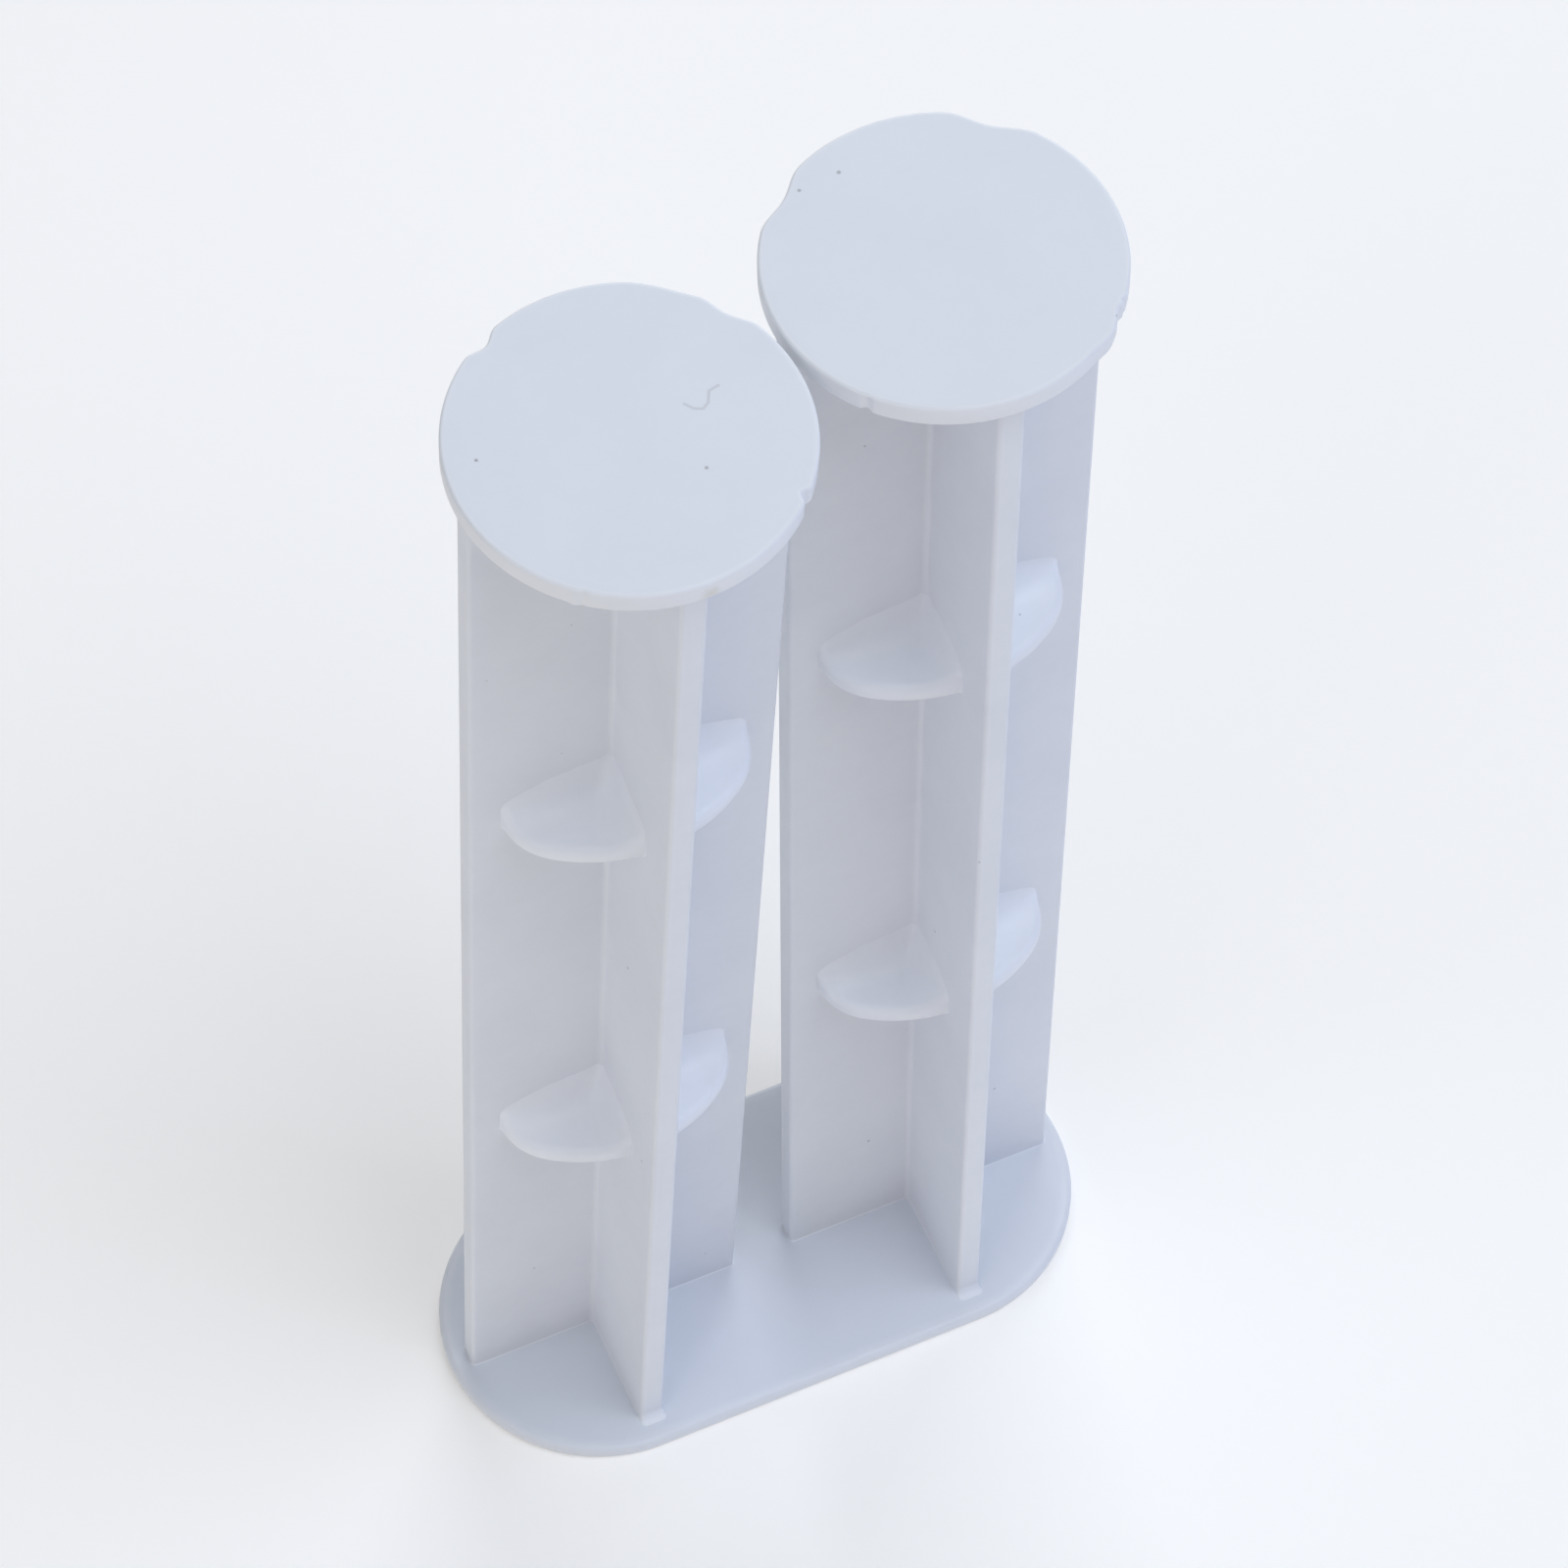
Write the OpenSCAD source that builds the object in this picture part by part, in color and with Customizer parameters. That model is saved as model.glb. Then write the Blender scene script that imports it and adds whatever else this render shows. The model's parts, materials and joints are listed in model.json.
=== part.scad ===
// Spool holder stand: two cross-ribbed posts on one round-ended foot plate.
// Two round webs, each in quarters between the ribs, brace every post, and a round disc ends it.
// Sizes are in millimetres. +Z is up, +X runs along the foot from the left post to the right one,
// and the origin is the middle of the foot's underside.

/* [Posts] */
// Height of each end disc's face above the foot's underside, measured along the post
post_h = 79; // [62:0.5:120]
// Thickness of every rib
rib_t = 1.2; // [0.8:0.05:2.4]
// Distance from the end disc's rim in to the outer edges of the spine rib
spine_inset = 0.35; // [0:0.05:1]
// Distance from the end disc's rim in to the outer edges of the front and back ribs
cross_inset = 0.85; // [0:0.05:1.6]
// Lean of the posts towards each other, in degrees
toe_in = 0.9; // [0:0.1:2]
// Lean of the left post forwards and of the right post backwards, in degrees
stagger = 1.1; // [0:0.1:1.5]

/* [Webs] */
// Distance from the end disc's rim in to the sides of the webs
web_inset = 1.75; // [0.9:0.05:3]
// Distance from the end disc's rim in to the front and back of the webs, which are flatter
web_front_inset = 3.15; // [1:0.05:4]
// Radius of the webs' flatter front and back
web_front_r = 7.8; // [7.5:0.1:24]
// Thickness of each web
web_t = 1.1; // [0.8:0.1:2]
// Clear height between the foot and the lower web
foot_bay_h = 24.4; // [10:0.1:27]
// Clear height between the upper web and the end disc
head_bay_h = 23.6; // [10:0.1:25]

/* [End discs] */
// Diameter of each end disc
disc_d = 15; // [12:0.1:24]
// Thickness of each end disc
disc_t = 1.1; // [0.9:0.1:2.4]
// Rounding of the end disc's two rims
disc_edge_r = 0.15; // [0.1:0.05:0.4]
// Gap between the two end discs
disc_gap = 0.3; // [0.1:0.05:4]

/* [Foot] */
// How far the foot plate reaches past a disc's diameter, all round the feet of the posts
foot_margin = 0.6; // [0:0.05:5]
// Thickness of the foot plate
foot_t = 0.9; // [0.8:0.1:3]
// Rounding of the foot plate's upper and lower edges
foot_edge_r = 0.3; // [0.1:0.05:0.35]

/* [Hidden] */
$fn = 96;

plastic = [0.87, 0.89, 0.93];

// The two sides, as the sign of X
left = -1;
right = 1;

// A post's quadrants, counted anticlockwise from above
back_right = 0;
back_left = 1;
front_left = 2;
front_right = 3;

// Every post is drawn in a frame of its own: it stands on the foot plate's top face, at its centre
disc_r = disc_d / 2;
spine_half_w = disc_r - spine_inset;
cross_half_w = disc_r - cross_inset;
web_r = disc_r - web_inset;
web_front_reach = disc_r - web_front_inset;
rib_top = post_h - foot_t - disc_t;
lower_web_z = foot_bay_h;
upper_web_z = rib_top - head_bay_h - web_t;

// The leans carry each disc's centre this far along X and Y, and the feet stand apart to suit
head_shift_x = (rib_top + disc_t) * sin(toe_in) * cos(stagger);
head_shift_y = (rib_top + disc_t) * sin(stagger);
disc_pitch = disc_d + disc_gap;
foot_pitch = 2 * head_shift_x + sqrt(pow(disc_pitch, 2) - pow(2 * head_shift_y, 2));
foot_r = disc_r + foot_margin;

// Ribs start this far down and are cut off flush with the foot plate's top face
root_depth = 1;

// Moulding nicks in each rim: direction in degrees, width, and depth below the chord across it
left_nicks = [[35, 2.9, 0.18], [52, 2.8, 0.03], [121, 2, 0.28], [-44, 0.6, 0.25]];
right_nicks = [[50, 4, 0.13], [131, 3.8, 0.15], [-44, 1.2, 0.12], [-139, 0.6, 0.1]];

// Half of a plate's section, from its middle out to an edge with both corners rounded
module plate_section(half_w, t, edge_r) {
    square([half_w - edge_r, t]);
    translate([0, edge_r])
        square([half_w, t - 2 * edge_r]);
    for (z = [edge_r, t - edge_r])
        translate([half_w - edge_r, z])
            circle(r = edge_r);
}

// Puts its children on a post's axis, leaning as the post does
module on_post(side) {
    translate([side * foot_pitch / 2, 0, foot_t])
        rotate([-side * stagger, -side * toe_in, 0])
            children();
}

// One rib wall of a post, cut flush with the foot plate: its corner nearest -X -Y, and its size
module rib(side, corner, size) {
    color(plastic)
        difference() {
            on_post(side)
                translate([corner[0], corner[1], -root_depth])
                    cube([size[0], size[1], rib_top + root_depth]);
            translate([side * foot_pitch / 2 - disc_d, -disc_d, foot_t - 3 * root_depth])
                cube([2 * disc_d, 2 * disc_d, 3 * root_depth]);
        }
}

// Spine rib, the full width of the post along X
module spine_rib(side) {
    rib(side, [-spine_half_w, -rib_t / 2], [2 * spine_half_w, rib_t]);
}

// Front rib, from the spine rib's front face forwards
module front_rib(side) {
    rib(side, [-rib_t / 2, -cross_half_w], [rib_t, cross_half_w - rib_t / 2]);
}

// Back rib, from the spine rib's back face backwards
module back_rib(side) {
    rib(side, [-rib_t / 2, rib_t / 2], [rib_t, cross_half_w - rib_t / 2]);
}

// One quarter of a round web, filling the corner between two ribs
module web(side, z, quadrant) {
    front_or_back = quadrant == front_left || quadrant == front_right ? -1 : 1;
    color(plastic)
        on_post(side)
            translate([0, 0, z])
                intersection() {
                    cylinder(r = web_r, h = web_t);
                    translate([0, front_or_back * (web_front_reach - web_front_r), 0])
                        cylinder(r = web_front_r, h = web_t);
                    rotate([0, 0, quadrant * 90])
                        translate([rib_t / 2, rib_t / 2, 0])
                            cube([web_r, web_r, web_t]);
                }
}

// End disc on top of a post, with nicks in its rim
module end_disc(side, nicks) {
    color(plastic)
        on_post(side)
            translate([0, 0, rib_top])
                difference() {
                    rotate_extrude()
                        plate_section(disc_r, disc_t, disc_edge_r);
                    for (nick = nicks)
                        rotate([0, 0, nick[0]])
                            rim_nick(nick[1], nick[2]);
                }
}

// A round cutter that takes a shallow nick out of a rim on the +X side
module rim_nick(width, depth) {
    cutter_r = (pow(width / 2, 2) + pow(depth, 2)) / (2 * depth);
    chord_x = sqrt(pow(disc_r, 2) - pow(width / 2, 2));
    translate([chord_x - depth + cutter_r, 0, -disc_t])
        cylinder(r = cutter_r, h = 3 * disc_t);
}

// Foot plate: a slab between two half discs, one round the foot of each post
module foot_plate() {
    color(plastic) {
        for (side = [left, right])
            translate([side * foot_pitch / 2, 0, 0])
                rotate([0, 0, -side * 90])
                    rotate_extrude(angle = 180)
                        plate_section(foot_r, foot_t, foot_edge_r);
        for (turn = [0, 180])
            rotate([0, 0, turn])
                translate([-foot_pitch / 2, 0, 0])
                    rotate([90, 0, 90])
                        linear_extrude(height = foot_pitch)
                            plate_section(foot_r, foot_t, foot_edge_r);
    }
}

foot_plate();

spine_rib(left);  // left_spine_rib
front_rib(left);  // left_front_rib
back_rib(left);  // left_back_rib
end_disc(left, left_nicks);  // left_end_disc
web(left, lower_web_z, front_left);  // left_lower_web_front_outer
web(left, lower_web_z, front_right);  // left_lower_web_front_inner
web(left, lower_web_z, back_right);  // left_lower_web_back_inner
web(left, lower_web_z, back_left);  // left_lower_web_back_outer
web(left, upper_web_z, front_left);  // left_upper_web_front_outer
web(left, upper_web_z, front_right);  // left_upper_web_front_inner
web(left, upper_web_z, back_right);  // left_upper_web_back_inner
web(left, upper_web_z, back_left);  // left_upper_web_back_outer

spine_rib(right);  // right_spine_rib
front_rib(right);  // right_front_rib
back_rib(right);  // right_back_rib
end_disc(right, right_nicks);  // right_end_disc
web(right, lower_web_z, front_right);  // right_lower_web_front_outer
web(right, lower_web_z, front_left);  // right_lower_web_front_inner
web(right, lower_web_z, back_left);  // right_lower_web_back_inner
web(right, lower_web_z, back_right);  // right_lower_web_back_outer
web(right, upper_web_z, front_right);  // right_upper_web_front_outer
web(right, upper_web_z, front_left);  // right_upper_web_front_inner
web(right, upper_web_z, back_left);  // right_upper_web_back_inner
web(right, upper_web_z, back_right);  // right_upper_web_back_outer
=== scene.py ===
"""Looks of the spool holder stand, built around its CAD frame.

The stand is one white moulding: two posts of crossed ribs stand on a round-ended foot plate. Two
round webs, each in quarters between the ribs, brace every post, and a round disc ends it. Each of
these features is a piece of its own, and all but the foot plate are laid out in the frame of their
post. Lengths are in metres.
"""
import json
import math

import bpy
import numpy as np
from mathutils import Matrix, Vector


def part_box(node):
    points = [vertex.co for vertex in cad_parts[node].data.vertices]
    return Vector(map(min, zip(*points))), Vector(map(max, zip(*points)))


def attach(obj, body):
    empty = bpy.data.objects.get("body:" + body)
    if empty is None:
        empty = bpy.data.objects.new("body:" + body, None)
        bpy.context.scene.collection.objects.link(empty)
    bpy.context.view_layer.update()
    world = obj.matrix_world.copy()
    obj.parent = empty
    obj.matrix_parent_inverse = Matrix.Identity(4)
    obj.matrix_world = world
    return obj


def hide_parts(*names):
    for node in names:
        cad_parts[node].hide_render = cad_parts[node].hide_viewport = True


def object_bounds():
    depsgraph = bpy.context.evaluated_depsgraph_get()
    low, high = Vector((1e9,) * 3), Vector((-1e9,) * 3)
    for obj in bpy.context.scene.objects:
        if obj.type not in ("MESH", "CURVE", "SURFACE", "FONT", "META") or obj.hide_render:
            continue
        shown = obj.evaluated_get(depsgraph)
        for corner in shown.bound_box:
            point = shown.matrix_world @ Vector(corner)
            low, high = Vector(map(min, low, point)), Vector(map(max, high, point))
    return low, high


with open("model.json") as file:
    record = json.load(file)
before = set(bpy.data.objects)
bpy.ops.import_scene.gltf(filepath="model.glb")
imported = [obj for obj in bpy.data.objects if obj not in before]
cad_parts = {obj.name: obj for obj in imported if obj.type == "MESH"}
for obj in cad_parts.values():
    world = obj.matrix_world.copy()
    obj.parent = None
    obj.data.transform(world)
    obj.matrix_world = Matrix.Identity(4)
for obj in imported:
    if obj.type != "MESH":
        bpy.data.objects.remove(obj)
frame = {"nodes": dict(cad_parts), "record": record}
cad_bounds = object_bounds()

MM = 0.001
SIDES = ("left", "right")

# Roundings of the moulding, which the frame leaves sharp
RIB_EDGE_ROUND = 0.2 * MM
RIB_CORNER_FILLET = 0.25 * MM
RIB_END_FILLET = 0.07 * MM
WEB_RIM_ROUND = 0.42 * MM
WEB_TOP_FILLET = 1.8 * MM
WEB_UNDER_FILLET = 0.2 * MM
DISC_RIM_ROUND = 0.15 * MM
FOOT_EDGE_ROUND = 0.3 * MM

# How far the free edge of a front or back rib runs out where it stands on the foot plate
RIB_TOE = 0.5 * MM
# How gently the two arcs of a web's outline run into each other
WEB_SHOULDER = 0.5 * MM
# Share of the swell on a web's top that is gone where it reaches the rim, and how late it goes
WEB_RIM_EASE = 0.55
WEB_EASE_POWER = 3
# How steeply a web's swell climbs inside the wall of a rib
WALL_CLIMB = 8
# How far the skins of the end discs stay inside the frame
DISC_INSET = 0.005 * MM
# How far inside the round of a web a point has to be to lie on the flatter arc of its outline
ARC_SLACK = 0.01 * MM
# How far a piece runs into its neighbour, so that no seam opens between them
EMBED = 0.05 * MM
# How far in from a rounded edge the flat behind it starts, and the painted light on the edge has faded out
EDGE_FADE = 0.45 * MM
# Faces that meet at more than this angle keep a crisp edge between them, in degrees
CRISP_ANGLE = 50

# Steps along the curved parts of the meshes
ROUND_STEPS = 6
FILLET_STEPS = 6
WEB_RAYS = 48
WEB_STEPS = 22
DISC_TURNS = 540
FOOT_TURNS = 96
# How much closer together the steps across a web are at the corner of the ribs
WEB_STEP_POWER = 1.6
# Where the rings on the flat faces of an end disc lie, as shares of its radius
DISC_RINGS = (0.2, 0.4, 0.6, 0.75, 0.86, 0.94, 0.985)

FOOT_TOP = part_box("foot_plate")[1].z


# ---------------------------------------------------------------- the frame of each post

class Post:
    """A post's own frame: x across it, y towards its back, z up it from the foot plate's top."""

    def __init__(self, side):
        self.side = side
        self.sign = -1 if side == "left" else 1
        face = next(m for m in frame["record"]["mounts"] if m["name"] == f"{side}_end_face")
        centre, up = Vector(face["pos_m"]), Vector(face["axis"]).normalized()
        across = Vector((0, 1, 0)).cross(up).normalized()
        self.axes = np.array([across, up.cross(across), up])
        self.root = np.array(centre - up * ((centre.z - FOOT_TOP) / up.z))
        self.take_sizes()

    def take_sizes(self):
        """Sizes of the post's CAD solids, measured in its own frame."""
        spine = self.measured("spine_rib")
        front = self.measured("front_rib")
        disc = self.measured("end_disc")
        self.spine_reach = np.abs(spine[:, 0]).max()
        self.spine_half_t = np.abs(spine[:, 1]).max()
        self.cross_reach = np.abs(front[:, 1]).max()
        self.cross_half_t = np.abs(front[:, 0]).max()
        self.rib_top = spine[:, 2].max()
        self.disc_top = disc[:, 2].max() - DISC_INSET
        self.disc_r = np.hypot(disc[:, 0], disc[:, 1]).max() - DISC_INSET

    def measured(self, feature):
        """Points of a CAD node of this post, in its own frame."""
        mesh = frame["nodes"][f"{self.side}_{feature}"].data
        points = np.array([v.co for v in mesh.vertices])
        return (points - self.root) @ self.axes.T

    def placed(self, points):
        """Points from the post's own frame, in the frame of the whole object."""
        return np.asarray(points) @ self.axes + self.root

    def seat(self, x, y):
        """Height in the post's frame at which the foot plate's flat top lies under x, y."""
        return -(self.axes[0, 2] * x + self.axes[1, 2] * y) / self.axes[2, 2]


# ---------------------------------------------------------------- mesh helpers

def arc(centre, radius, start, end, steps):
    """Points on an arc from start to end degrees, both ends included."""
    turn = np.radians(np.linspace(start, end, steps + 1))
    return np.stack([centre[0] + radius * np.cos(turn), centre[1] + radius * np.sin(turn)], 1)


def turned(points, quarter_turns):
    """Plane points turned anticlockwise about the origin by quarter turns."""
    turn = quarter_turns * math.pi / 2
    cos, sin = round(math.cos(turn)), round(math.sin(turn))
    return points @ np.array([[cos, sin], [-sin, cos]])


def loft(rings):
    """Faces of a closed skin through rings of equally many points, with a flat cap on each end."""
    count = len(rings[0])
    faces = []
    for low in range(0, (len(rings) - 1) * count, count):
        for i in range(count):
            j = (i + 1) % count
            faces.append((low + i, low + j, low + count + j, low + count + i))
    last = (len(rings) - 1) * count
    faces.append(tuple(range(count))[::-1])
    faces.append(tuple(range(last, last + count)))
    return np.concatenate(rings), faces


def make_piece(name, points, faces, material, edge_share=None):
    """One closed, smooth-shaded piece that stands for the CAD node of its name.

    Each point's edge share says how much it has of the painted light on a free edge.
    """
    mesh = bpy.data.meshes.new(name)
    mesh.from_pydata([tuple(p) for p in points], [], faces)
    mesh.validate()
    mesh.shade_smooth()
    mesh.set_sharp_from_angle(angle=math.radians(CRISP_ANGLE))
    if edge_share is not None:
        free_edge = mesh.attributes.new("free_edge", "FLOAT", "POINT")
        free_edge.data.foreach_set("value", np.asarray(edge_share, np.float32))
    mesh.materials.append(material)
    piece = bpy.data.objects.new(f"{name}_skin", mesh)
    bpy.context.scene.collection.objects.link(piece)
    even = piece.modifiers.new("even shading", "WEIGHTED_NORMAL")
    even.keep_sharp = True
    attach(piece, "root")
    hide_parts(name)


# ---------------------------------------------------------------- ribs

def rib_edge(reach, half_t, round_r):
    """Outline of a rib's rounded free edge, which points to +x, from wall to wall."""
    wall_x = reach - round_r - EDGE_FADE
    middle = half_t - round_r
    return np.concatenate([
        [(wall_x, -half_t)],
        arc((reach - round_r, -middle), round_r, -90, 0, ROUND_STEPS),
        arc((reach - round_r, middle), round_r, 0, 90, ROUND_STEPS),
        [(wall_x, half_t)],
    ])


def spine_section(post, spread, edge_spread):
    """Outline of a spine rib whose skin stands out by spread, and by edge_spread at its edges."""
    edge = rib_edge(post.spine_reach + edge_spread, post.spine_half_t + spread, RIB_EDGE_ROUND + spread)
    return np.concatenate([edge, turned(edge, 2)])


def cross_section(post, quarter_turns, spread, edge_spread):
    """Outline of a front or back rib, with a fillet on each side of its root at the spine rib."""
    edge = rib_edge(post.cross_reach + edge_spread, post.cross_half_t + spread, RIB_EDGE_ROUND + spread)
    face = post.spine_half_t
    root_x = face + RIB_CORNER_FILLET
    root_y = post.cross_half_t + RIB_CORNER_FILLET
    radius = RIB_CORNER_FILLET - spread
    root = np.concatenate([
        arc((root_x, root_y), radius, 270, 180, ROUND_STEPS),
        [(face - EMBED, root_y), (face - EMBED, -root_y)],
        arc((root_x, -root_y), radius, 180, 90, ROUND_STEPS),
    ])
    return turned(np.concatenate([edge, root]), quarter_turns)


def end_levels(radius):
    """Heights from a rib's end, each with how far its skin stands out there.

    They make a fillet, and the first is a little way into the piece that the rib ends on.
    """
    turn = np.radians(np.linspace(0, 90, FILLET_STEPS + 1))
    rise = radius * (1 - np.cos(turn))
    spread = radius * (1 - np.sin(turn))
    return [(-EMBED, spread[0]), *zip(rise, spread)]


def build_rib(post, feature, section, reach, toe, material):
    """Lofts a rib from the foot plate's flat top to the underside of the end disc.

    On the foot plate its free edge runs out as far as toe, and its walls have a smaller fillet.
    Under the disc, the fillet stays clear of the disc's rounded rim.
    """
    head_room = post.disc_r - DISC_RIM_ROUND - reach
    foot = [(height, out * RIB_END_FILLET / toe, out) for height, out in end_levels(toe)]
    head = [(post.rib_top - height, out, min(out, head_room)) for height, out in end_levels(RIB_END_FILLET)]
    rings = []
    for height, spread, edge_spread in foot + head[::-1]:
        outline = section(spread, edge_spread)
        seat = post.seat(outline[:, 0], outline[:, 1])
        z = height + seat * (1 - height / post.rib_top)
        rings.append(post.placed(np.column_stack([outline, z])))
    points, faces = loft(rings)
    make_piece(f"{post.side}_{feature}", points, faces, material)


def build_ribs(post, material):
    """The spine rib and the front and back ribs that stand off it."""
    build_rib(post, "spine_rib", lambda out, edge: spine_section(post, out, edge),
              post.spine_reach, RIB_END_FILLET, material)
    for feature, quarter_turns in (("front_rib", -1), ("back_rib", 1)):
        build_rib(post, feature, lambda out, edge, q=quarter_turns: cross_section(post, q, out, edge),
                  post.cross_reach, RIB_TOE, material)


# ---------------------------------------------------------------- webs

def web_outline(cad):
    """A web's radius, then the place and the radius of its flatter arc, whose centre is on the y axis."""
    out = np.hypot(cad[:, 0], cad[:, 1])
    radius = out.max()
    # The points near the corner of the ribs are on neither arc
    shallow = (out > radius / 2) & (out < radius - ARC_SLACK)
    across = np.abs(cad[shallow, 1])
    # All along such an arc, the distance from the axis squared is 2 * centre * y + rest
    terms = np.column_stack([2 * across, np.ones(len(across))])
    centre, rest = np.linalg.lstsq(terms, out[shallow] ** 2, rcond=None)[0]
    return radius, centre, math.sqrt(rest + centre ** 2)


def reach_to_circle(start, ray, centre_y, radius):
    """How far along a ray from its start a circle lies whose centre is on the y axis."""
    x, y = start[0], start[1] - centre_y
    along = x * ray[0] + y * ray[1]
    return math.sqrt(along ** 2 + radius ** 2 - x ** 2 - y ** 2) - along


def fillet_rise(post, x, y, radius):
    """How far a web swells at points in one quarter of a post, from the fillets along both ribs.

    Inside a rib's wall the swell runs on steeply, so that its skin meets the wall smoothly.
    """
    rise = 0
    for gap in (x - post.cross_half_t, y - post.spine_half_t):
        short = radius - np.clip(gap, 0, radius)
        swell = radius - np.sqrt(radius ** 2 - short ** 2) + WALL_CLIMB * np.clip(-gap, 0, None)
        rise = rise + swell ** 2
    return np.sqrt(rise)


def web_profile(reach, low, high):
    """Points from the middle of a web's top, round its rim, to the middle of its underside.

    Each is (distance out, height, share of the top's swell, share of the underside's swell).
    """
    r = WEB_RIM_ROUND
    flat = (reach - r) * np.linspace(0, 1, WEB_STEPS) ** WEB_STEP_POWER
    upper = arc((reach - r, high - r), r, 90, 0, ROUND_STEPS)
    lower = arc((reach - r, low + r), r, 0, -90, ROUND_STEPS)
    points = [(out, high, 1, 0) for out in flat[:-1]]
    points += [(out, z, 1, 0) for out, z in upper]
    points += [(out, z, 0, 1) for out, z in lower]
    return np.array(points + [(out, low, 0, 1) for out in flat[-2::-1]])


def build_web(post, feature, sign_x, sign_y, material):
    """A quarter web that swells into a fillet wherever it meets the ribs.

    Its skin is drawn along rays that fan out from the corner between the two ribs.
    """
    cad = post.measured(feature)
    low, high = cad[:, 2].min(), cad[:, 2].max()
    radius, shallow_y, shallow_r = web_outline(cad)
    corner = np.array([post.cross_half_t - EMBED, post.spine_half_t - EMBED])
    turns = math.pi / 4 * (1 - np.cos(np.linspace(0, math.pi, WEB_RAYS + 1)))
    rays = []
    for turn in turns:
        ray = np.array([math.cos(turn), math.sin(turn)])
        side_reach = reach_to_circle(corner, ray, 0, radius)
        front_reach = reach_to_circle(corner, ray, shallow_y, shallow_r)
        shoulder = max(WEB_SHOULDER - abs(side_reach - front_reach), 0) ** 2 / (4 * WEB_SHOULDER)
        profile = web_profile(min(side_reach, front_reach) - shoulder, low, high)
        x, y = (corner + profile[:, :1] * ray).T
        ease = 1 - WEB_RIM_EASE * (profile[:, 0] / profile[:, 0].max()) ** WEB_EASE_POWER
        z = profile[:, 1] + profile[:, 2] * ease * fillet_rise(post, x, y, WEB_TOP_FILLET)
        z -= profile[:, 3] * fillet_rise(post, x, y, WEB_UNDER_FILLET)
        rays.append(np.column_stack([x * sign_x, y * sign_y, z]))
    points, faces = ray_skin(rays)
    if sign_x * sign_y < 0:
        faces = [face[::-1] for face in faces]
    make_piece(f"{post.side}_{feature}", post.placed(points), faces, material)


def ray_skin(rays):
    """Points and faces of a skin through rays that all start at one point and end at another."""
    inner = [ray[1:-1] for ray in rays]
    count = len(inner[0])
    points = np.concatenate([[rays[0][0], rays[0][-1]], *inner])
    faces = []
    for k in range(len(rays) - 1):
        a, b = 2 + k * count, 2 + (k + 1) * count
        faces.append((0, a, b))
        for i in range(count - 1):
            faces.append((a + i, a + i + 1, b + i + 1, b + i))
        faces.append((a + count - 1, 1, b + count - 1))
    last = 2 + (len(rays) - 1) * count
    faces.append((1, *range(1 + count, 1, -1), 0))
    faces.append((0, *range(last, last + count), 1))
    return points, faces


def build_webs(post, material):
    """The lower and upper web of a post, each in four quarters between the ribs."""
    for level in ("lower", "upper"):
        for depth, sign_y in (("front", -1), ("back", 1)):
            for place, sign_x in (("outer", post.sign), ("inner", -post.sign)):
                build_web(post, f"{level}_web_{depth}_{place}", sign_x, sign_y, material)


# ---------------------------------------------------------------- end discs

# Nicks in each disc's rim: direction and half width in degrees, then depth at the upper and the
# lower rim as a share of the disc's radius. A depth below nothing is a nub that stands out.
RIM_NICKS = {
    "left": (
        (34, 11, 0.042, 0.042), (50, 20, 0.022, 0.022), (120, 8, 0.047, 0.042),
        (-44, 3.5, 0.040, 0.034), (-127, 1.4, 0.012, 0.004), (-130, 2.4, 0.000, -0.010),
    ),
    "right": (
        (50, 16, 0.055, 0.055), (131, 15, 0.050, 0.048), (-44, 4.0, 0.022, 0.018),
        (-54, 8.0, -0.020, -0.014), (-40, 1.2, 0.014, 0.010), (-139, 2.6, 0.004, 0.022),
    ),
}


def nick_shape(turns, direction, half_width):
    """How much of a nick's depth is cut at each turn, in degrees: all in its middle, none past its ends."""
    away = (turns - direction + 180) % 360 - 180
    return np.cos(np.clip(away / half_width, -1, 1) * math.pi / 2) ** 2


def build_disc(post, material):
    """An end disc with two rounded rims, and the moulding's nicks in them."""
    turns = np.arange(DISC_TURNS) * 360 / DISC_TURNS
    upper, lower = np.full(DISC_TURNS, post.disc_r), np.full(DISC_TURNS, post.disc_r)
    for direction, half_width, top_depth, low_depth in RIM_NICKS[post.side]:
        cut = post.disc_r * nick_shape(turns, direction, half_width)
        upper -= cut * top_depth
        lower -= cut * low_depth
    r = DISC_RIM_ROUND
    high, low = post.disc_top, post.rib_top
    bend = np.radians(np.linspace(0, 90, ROUND_STEPS + 1))
    profile = [(share, 0, low, 0) for share in DISC_RINGS]
    profile += [(1, r * math.sin(b), low + r * (1 - math.cos(b)), 1) for b in bend]
    profile += [(1, r * math.cos(b), high - r * (1 - math.sin(b)), 1) for b in bend]
    profile += [(share, 0, high, 0) for share in DISC_RINGS[::-1]]
    cos, sin = np.cos(np.radians(turns)), np.sin(np.radians(turns))
    rings, shares = [], []
    for share, beyond, z, edge in profile:
        rise = (z - low) / (high - low)
        reach = (lower + (upper - lower) * rise - r) * share + beyond
        rings.append(np.column_stack([reach * cos, reach * sin, np.full(DISC_TURNS, z)]))
        shares += [edge] * DISC_TURNS
    points, faces = loft(rings)
    make_piece(f"{post.side}_end_disc", post.placed(points), faces, material, shares)


# ---------------------------------------------------------------- foot plate

def foot_outline(inset):
    """Outline of the foot plate, a slab with a half disc on each end, drawn in by inset."""
    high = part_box("foot_plate")[1]
    radius, centre_x = high.y - inset, high.x - high.y
    return np.concatenate([
        arc((centre_x, 0), radius, -90, 90, FOOT_TURNS),
        arc((-centre_x, 0), radius, 90, 270, FOOT_TURNS),
    ])


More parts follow.
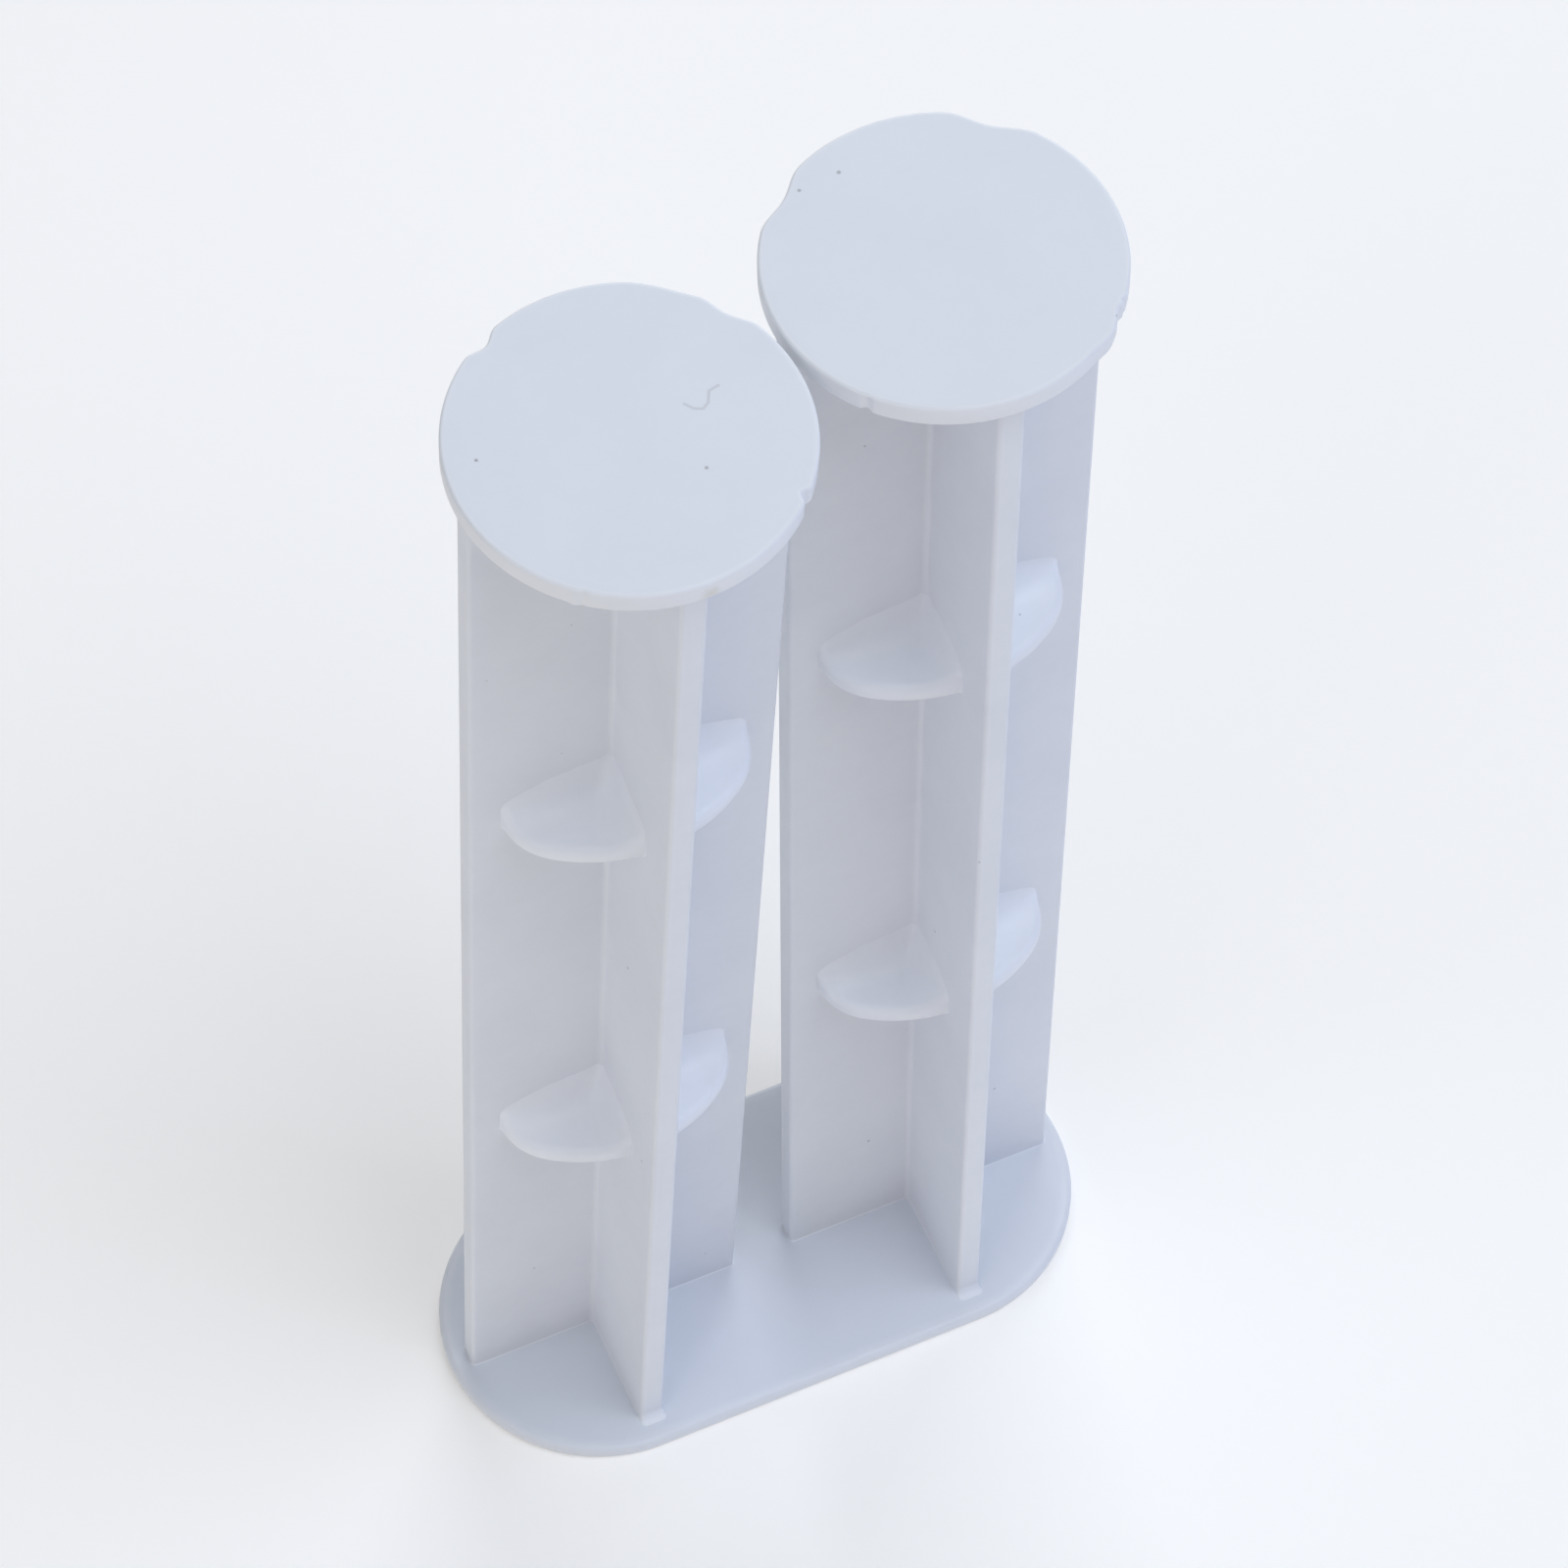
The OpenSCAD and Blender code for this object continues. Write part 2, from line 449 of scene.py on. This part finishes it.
def build_foot(material):
    """The foot plate, with its upper and lower edges rounded."""
    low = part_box("foot_plate")[0].z
    r = FOOT_EDGE_ROUND
    bend = np.radians(np.linspace(0, 90, ROUND_STEPS + 1))
    profile = [(r + EDGE_FADE, low, 0)]
    profile += [(r * (1 - math.sin(b)), low + r * (1 - math.cos(b)), 1) for b in bend]
    profile += [(r * (1 - math.cos(b)), FOOT_TOP - r * (1 - math.sin(b)), 1) for b in bend]
    profile += [(r + EDGE_FADE, FOOT_TOP, 0)]
    rings, shares = [], []
    for inset, z, edge in profile:
        outline = foot_outline(inset)
        rings.append(np.column_stack([outline, np.full(len(outline), z)]))
        shares += [edge] * len(outline)
    points, faces = loft(rings)
    make_piece("foot_plate", points, faces, material, shares)


# ---------------------------------------------------------------- finishes

def add(tree, kind, inputs=None, **settings):
    """Adds a node, sets its properties, and fills or links its inputs."""
    node = tree.nodes.new(kind)
    for name, value in settings.items():
        setattr(node, name, value)
    for name, value in (inputs or {}).items():
        if isinstance(value, bpy.types.NodeSocket):
            tree.links.new(value, node.inputs[name])
        else:
            node.inputs[name].default_value = value
    return node


def maths(tree, operation, a, b=0.0, c=0.0):
    """The result of a maths node on up to three values."""
    return add(tree, "ShaderNodeMath", {0: a, 1: b, 2: c}, operation=operation).outputs[0]


def ramp(tree, value, start, end, low=0.0, high=1.0):
    """Value eased from low to high as it goes from start to end."""
    inputs = {"Value": value, "From Min": start, "From Max": end, "To Min": low, "To Max": high}
    return add(tree, "ShaderNodeMapRange", inputs, interpolation_type="SMOOTHSTEP").outputs[0]


def blend(tree, share, first, second):
    """A colour between two, by share. Sockets 6 and 7 of the node take its two colours."""
    return add(tree, "ShaderNodeMix", {0: share, 6: first, 7: second}, data_type="RGBA").outputs[2]


def noise(tree, place, size, detail=2.0, roughness=0.5):
    """Smooth random values from 0 to 1 that change over about size."""
    scale = maths(tree, "DIVIDE", 1.0, size)
    inputs = {"Vector": place, "Scale": scale, "Detail": detail, "Roughness": roughness}
    return add(tree, "ShaderNodeTexNoise", inputs).outputs[0]


def new_group(name, inputs, outputs):
    """An empty node group with named sockets: (tree, its inputs, its output node)."""
    tree = bpy.data.node_groups.new(name, "ShaderNodeTree")
    for label, kind, default in inputs:
        socket = tree.interface.new_socket(label, in_out="INPUT", socket_type=f"NodeSocket{kind}")
        if default is not None:
            socket.default_value = default
    for label, kind in outputs:
        tree.interface.new_socket(label, in_out="OUTPUT", socket_type=f"NodeSocket{kind}")
    given = tree.nodes.new("NodeGroupInput")
    return tree, given.outputs, tree.nodes.new("NodeGroupOutput")


def cloudy_tone_group():
    """Soft patches where the plastic is a little deeper in tone, with a finer mottle in them."""
    tree, given, out = new_group(
        "Cloudy tone",
        (("Place", "Vector", None), ("Colour", "Color", (0.8, 0.8, 0.8, 1)),
         ("Deep colour", "Color", (0.7, 0.7, 0.7, 1)), ("Patch size", "Float", 0.01),
         ("Strength", "Float", 0.5)),
        (("Colour", "Color"),))
    patches = ramp(tree, noise(tree, given["Place"], given["Patch size"], 3.0), 0.35, 0.7)
    fine = maths(tree, "MULTIPLY", given["Patch size"], 0.12)
    mottle = ramp(tree, noise(tree, given["Place"], fine, 4.0, 0.6), 0.3, 0.75)
    mixed = maths(tree, "MULTIPLY_ADD", mottle, 0.3, maths(tree, "MULTIPLY", patches, 0.7))
    share = maths(tree, "MULTIPLY", mixed, given["Strength"])
    tree.links.new(blend(tree, share, given["Colour"], given["Deep colour"]), out.inputs[0])
    return tree


def painted_edge_light_group():
    """Painted light on thin, free edges: a lighter tint that stands in for light coming through the
    plastic.
    """
    tree, given, out = new_group(
        "Painted edge light",
        (("Place", "Vector", None), ("Colour", "Color", (0.8, 0.8, 0.8, 1)),
         ("Edge colour", "Color", (0.9, 0.9, 0.9, 1)), ("Free edge", "Float", 0.0),
         ("Strength", "Float", 0.5)),
        (("Colour", "Color"),))
    uneven = ramp(tree, noise(tree, given["Place"], 1.5 * MM, 3.0), 0.2, 0.7, 0.6, 1.0)
    edge = maths(tree, "MULTIPLY", ramp(tree, given["Free edge"], 0.0, 1.0), uneven)
    share = maths(tree, "MULTIPLY", edge, given["Strength"])
    tree.links.new(blend(tree, share, given["Colour"], given["Edge colour"]), out.inputs[0])
    return tree


def specks_group():
    """Sparse dark specks of dust moulded into the surface."""
    tree, given, out = new_group(
        "Specks",
        (("Place", "Vector", None), ("Spacing", "Float", 0.002), ("Size", "Float", 0.0001),
         ("Share", "Float", 0.3)),
        (("Mask", "Float"),))
    scale = maths(tree, "DIVIDE", 1.0, given["Spacing"])
    cells = add(tree, "ShaderNodeTexVoronoi", {"Vector": given["Place"], "Scale": scale})
    picked = add(tree, "ShaderNodeSeparateColor", {0: cells.outputs["Color"]})
    kept = maths(tree, "LESS_THAN", picked.outputs[0], given["Share"])
    size = maths(tree, "MULTIPLY", given["Size"], scale)
    size = maths(tree, "MULTIPLY", size, maths(tree, "MULTIPLY_ADD", picked.outputs[1], 0.9, 0.4))
    spot = maths(tree, "SUBTRACT", 1.0, maths(tree, "DIVIDE", cells.outputs["Distance"], size))
    spot = ramp(tree, spot, 0.0, 0.6)
    tree.links.new(maths(tree, "MULTIPLY", spot, kept), out.inputs[0])
    return tree


def moulded_skin_group():
    """The surface that the mould leaves: long low waves under a fine grain, and its uneven gloss."""
    tree, given, out = new_group(
        "Moulded skin",
        (("Place", "Vector", None), ("Wave size", "Float", 0.004), ("Wave height", "Float", 0.00001),
         ("Grain size", "Float", 0.0002), ("Grain height", "Float", 0.000002),
         ("Roughness", "Float", 0.45), ("Gloss change", "Float", 0.1)),
        (("Height", "Float"), ("Roughness", "Float")))
    waves = noise(tree, given["Place"], given["Wave size"], 2.0)
    grain = noise(tree, given["Place"], given["Grain size"], 3.0, 0.6)
    height = maths(tree, "MULTIPLY_ADD", grain, given["Grain height"],
                   maths(tree, "MULTIPLY", waves, given["Wave height"]))
    shift = maths(tree, "SUBTRACT", noise(tree, given["Place"], 2.2 * MM, 4.0), 0.5)
    rough = maths(tree, "MULTIPLY_ADD", shift, given["Gloss change"], given["Roughness"])
    tree.links.new(height, out.inputs[0])
    tree.links.new(rough, out.inputs[1])
    return tree


def hairline_group():
    """A hair-thin straight mark from one point to another."""
    tree, given, out = new_group(
        "Hairline",
        (("Place", "Vector", None), ("Start", "Vector", None), ("End", "Vector", None),
         ("Width", "Float", 0.0001)),
        (("Mask", "Float"),))

    def vector(operation, *values):
        return add(tree, "ShaderNodeVectorMath", dict(enumerate(values)), operation=operation)

    run = vector("SUBTRACT", given["End"], given["Start"]).outputs[0]
    here = vector("SUBTRACT", given["Place"], given["Start"]).outputs[0]
    along = vector("DOT_PRODUCT", here, run).outputs["Value"]
    length = vector("DOT_PRODUCT", run, run).outputs["Value"]
    share = add(tree, "ShaderNodeClamp", {0: maths(tree, "DIVIDE", along, length)}).outputs[0]
    nearest = add(tree, "ShaderNodeVectorMath", {0: run, "Scale": share}, operation="SCALE").outputs[0]
    away = vector("DISTANCE", here, nearest).outputs["Value"]
    near = maths(tree, "DIVIDE", away, given["Width"])
    tree.links.new(ramp(tree, near, 0.3, 1.0, 1.0, 0.0), out.inputs[0])
    return tree


def soft_spot_group():
    """A round stain with an uneven edge."""
    tree, given, out = new_group(
        "Soft spot",
        (("Place", "Vector", None), ("Centre", "Vector", None), ("Radius", "Float", 0.0005)),
        (("Mask", "Float"),))
    away = add(tree, "ShaderNodeVectorMath", {0: given["Place"], 1: given["Centre"]}, operation="DISTANCE")
    near = maths(tree, "DIVIDE", away.outputs["Value"], given["Radius"])
    uneven = noise(tree, given["Place"], maths(tree, "MULTIPLY", given["Radius"], 0.5), 3.0)
    near = maths(tree, "MULTIPLY_ADD", uneven, 0.8, near)
    tree.links.new(ramp(tree, near, 0.5, 1.3, 1.0, 0.0), out.inputs[0])
    return tree


GROUPS = {
    "tone": cloudy_tone_group(),
    "edge": painted_edge_light_group(),
    "specks": specks_group(),
    "skin": moulded_skin_group(),
    "hairline": hairline_group(),
    "spot": soft_spot_group(),
}


def use(tree, group, **inputs):
    """Places a node group in a material. Input names have _ for a space."""
    named = {name.replace("_", " ").capitalize(): value for name, value in inputs.items()}
    return add(tree, "ShaderNodeGroup", named, node_tree=GROUPS[group]).outputs


# Colours of the plastic and of the light and shade painted on it, linear
WHITE = (0.80, 0.82, 0.86, 1)
# Painted shade: the foot plate is the same plastic as the ribs, painted darker for the shade that falls on
# it
SHADED_FOOT_WHITE = (0.69, 0.72, 0.775, 1)
# Painted light: the webs are the same plastic as the ribs, painted lighter for the light that falls on them
# and comes through them
LIT_WEB_WHITE = (0.85, 0.87, 0.91, 1)
DEEP_WHITE = (0.74, 0.76, 0.81, 1)
# Painted light on thin edges, on the foot plate's rim and the discs' rims, for light coming through the
# plastic
PAINTED_EDGE_LIGHT = (0.88, 0.89, 0.91, 1)
PAINTED_RIM_LIGHT = (0.90, 0.90, 0.90, 1)
SPECK_GREY = (0.30, 0.29, 0.30, 1)
STAIN = (0.62, 0.60, 0.50, 1)
# How strongly the moulded-in specks, the tick and the stain cover the white
SPECK_STRENGTH = 0.65
TICK_STRENGTH = 0.25
STAIN_STRENGTH = 0.5


def plastic(name, white, patch_size, tone, roughness, edge=None, marks=()):
    """The moulding's white plastic.

    Edge gives the colour and strength of painted light on its thin edges, for light through the plastic;
    None paints none. Each mark is a function of (tree, place) that gives (mask, colour).
    """
    material = bpy.data.materials.new(name)
    material.use_nodes = True
    tree = material.node_tree
    shader = tree.nodes["Principled BSDF"]
    place = add(tree, "ShaderNodeTexCoord").outputs["Object"]
    colour = use(tree, "tone", place=place, colour=white, deep_colour=DEEP_WHITE,
                 patch_size=patch_size, strength=tone)["Colour"]
    # Painted light on the thin edges, standing in for light coming through the plastic
    if edge:
        tint, strength = edge
        free_edge = add(tree, "ShaderNodeAttribute", attribute_name="free_edge").outputs["Fac"]
        colour = use(tree, "edge", place=place, colour=colour, edge_colour=tint,
                     free_edge=free_edge, strength=strength)["Colour"]
    specks = use(tree, "specks", place=place, spacing=1.8 * MM, size=0.1 * MM, share=0.3)["Mask"]
    colour = blend(tree, maths(tree, "MULTIPLY", specks, SPECK_STRENGTH), colour, SPECK_GREY)
    for mark in marks:
        mask, tint = mark(tree, place)
        colour = blend(tree, mask, colour, tint)
    skin = use(tree, "skin", place=place, wave_size=3.5 * MM, wave_height=0.012 * MM,
               grain_size=0.16 * MM, grain_height=0.0012 * MM, roughness=roughness, gloss_change=0.16)
    bump = add(tree, "ShaderNodeBump", {"Strength": 0.6, "Distance": 1.0, "Height": skin["Height"]})
    tree.links.new(colour, shader.inputs["Base Color"])
    tree.links.new(skin["Roughness"], shader.inputs["Roughness"])
    tree.links.new(bump.outputs[0], shader.inputs["Normal"])
    shader.inputs["IOR"].default_value = 1.49
    return material


# ---------------------------------------------------------------- floor, light and camera

def build_floor():
    """A plain pale floor just under the foot plate."""
    half, drop = 1.5, 0.02 * MM
    corners = [(-half, -half, -drop), (half, -half, -drop), (half, half, -drop), (-half, half, -drop)]
    mesh = bpy.data.meshes.new("floor")
    mesh.from_pydata(corners, [], [(0, 1, 2, 3)])
    material = bpy.data.materials.new("pale floor")
    material.use_nodes = True
    shader = material.node_tree.nodes["Principled BSDF"]
    shader.inputs["Base Color"].default_value = (0.93, 0.91, 0.88, 1)
    shader.inputs["Roughness"].default_value = 0.9
    shader.inputs["Emission Color"].default_value = (1, 0.97, 0.92, 1)
    shader.inputs["Emission Strength"].default_value = 0.15
    mesh.materials.append(material)
    floor = bpy.data.objects.new("floor", mesh)
    bpy.context.scene.collection.objects.link(floor)


def direction(azimuth, elevation):
    """Unit vector towards a viewer or light. Azimuth 0 is in front of the stand, and 90 on its right."""
    a, e = math.radians(azimuth), math.radians(elevation)
    return Vector((math.sin(a) * math.cos(e), -math.cos(a) * math.cos(e), math.sin(e)))


# Soft boxes round the stand: name, azimuth and elevation in degrees, glow, and tint
SOFT_BOXES = (
    ("right top box", 60, 60, 0.92, (0.78, 0.93, 1.0)),
    ("top box", 30, 70, 2.9, (0.86, 0.90, 1.0)),
    ("back box", 150, 25, 3.3, (0.88, 0.92, 1.0)),
    ("left box", -75, 40, 1.32, (0.83, 0.91, 1.0)),
    ("low left box", -45, 5, 1.26, (1.0, 0.87, 0.82)),
    ("low right box", 60, 5, 1.76, (0.36, 0.50, 1.0)),
)
BOX_SIZE = 0.4
BOX_AWAY = 0.6
DOME_GLOW = 0.15


def soft_box(name, azimuth, elevation, glow, tint):
    """A square soft box that faces the stand, and is as bright as glow wherever it is seen."""
    light = bpy.data.lights.new(name, "AREA")
    light.size = BOX_SIZE
    light.energy = glow * math.pi * BOX_SIZE ** 2
    light.color = tint
    lamp = bpy.data.objects.new(name, light)
    aim = Vector((0, 0, 0.5 * cad_bounds[1].z))
    facing = direction(azimuth, elevation)
    lamp.location = aim + facing * BOX_AWAY
    lamp.rotation_euler = facing.to_track_quat("Z", "Y").to_euler()
    bpy.context.scene.collection.objects.link(lamp)


def build_light():
    """Soft studio light: boxes round and above the stand, bluer low on its right, and a faint dome."""
    world = bpy.data.worlds.new("studio")
    world.use_nodes = True
    dome = world.node_tree.nodes["Background"]
    dome.inputs["Color"].default_value = (1, 1, 1, 1)
    dome.inputs["Strength"].default_value = DOME_GLOW
    bpy.context.scene.world = world
    for box in SOFT_BOXES:
        soft_box(*box)
    bpy.context.scene.view_settings.view_transform = "Standard"


# Where the camera stands and the point it is aimed at. Angles are in degrees, and the lens is in mm.
VIEW_AZIMUTH = -25.92
VIEW_ELEVATION = 58.56
VIEW_ROLL = 2.15
VIEW_DISTANCE = 0.2853
VIEW_AIM = Vector((0.00484, 0.00887, 0.02917))
VIEW_LENS = 137.46


def build_camera():
    """The camera, high up in front of the stand and a little to its left."""
    data = bpy.data.cameras.new("camera")
    data.lens = VIEW_LENS
    data.sensor_width = 36
    data.clip_start = 0.01
    camera = bpy.data.objects.new("camera", data)
    back = direction(VIEW_AZIMUTH, VIEW_ELEVATION)
    right = Vector((0, 0, 1)).cross(back).normalized()
    turn = Matrix((right, back.cross(right), back)).transposed().to_4x4()
    roll = Matrix.Rotation(math.radians(VIEW_ROLL), 4, "Z")
    camera.matrix_world = Matrix.Translation(VIEW_AIM + back * VIEW_DISTANCE) @ turn @ roll
    bpy.context.scene.collection.objects.link(camera)
    bpy.context.scene.camera = camera


# ---------------------------------------------------------------- the stand

def left_disc_marks(post):
    """Marks of use on the left end disc: a thin tick and a dot of dust on its face, a stain on its rim."""
    def on_face(x, y, drop=0.0):
        return tuple(post.placed([x * MM, y * MM, post.disc_top - drop * MM]))

    def tick(tree, place):
        bends = [on_face(*p) for p in ((2.6, 0.6), (2.85, 0.25), (3.2, 0.1), (3.5, 0.3),
                                       (3.75, 0.8), (4.2, 0.9))]
        mask = 0.0
        for start, end in zip(bends, bends[1:]):
            line = use(tree, "hairline", place=place, start=start, end=end, width=0.09 * MM)["Mask"]
            mask = maths(tree, "MAXIMUM", line, mask)
        return maths(tree, "MULTIPLY", mask, TICK_STRENGTH), SPECK_GREY

    def stain(tree, place):
        centre = on_face(0.2, -7.45, 0.75)
        spot = use(tree, "spot", place=place, centre=centre, radius=0.6 * MM)["Mask"]
        return maths(tree, "MULTIPLY", spot, STAIN_STRENGTH), STAIN

    def dust(tree, place):
        centre = on_face(-6.0, 1.25)
        return use(tree, "spot", place=place, centre=centre, radius=0.12 * MM)["Mask"], SPECK_GREY

    return tick, stain, dust


def build_stand():
    """Every feature of the stand in the finish of its kind, with painted shade on the foot plate and
    painted light on the webs and thin edges.
    """
    posts = [Post(side) for side in SIDES]
    # The foot plate's finish is a darker white as painted shade, with painted light on its rounded edge
    foot = plastic("foot plastic with painted shade and edge light", SHADED_FOOT_WHITE, 9 * MM, 0.5, 0.46, edge=(PAINTED_EDGE_LIGHT, 0.25))
    ribs = plastic("rib plastic", WHITE, 7 * MM, 0.6, 0.48)
    # The webs' finish is a lighter white as painted light
    webs = plastic("web plastic with painted light", LIT_WEB_WHITE, 5 * MM, 0.3, 0.46)
    build_foot(foot)
    for post in posts:
        build_ribs(post, ribs)
        build_webs(post, webs)
        marks = left_disc_marks(post) if post.side == "left" else ()
        # The disc's finish has painted light on its rims
        disc = plastic(f"{post.side} disc plastic with painted rim light", WHITE, 6 * MM, 0.4, 0.42, edge=(PAINTED_RIM_LIGHT, 0.3),
                       marks=marks)
        build_disc(post, disc)


build_camera()
build_light()
build_floor()
build_stand()
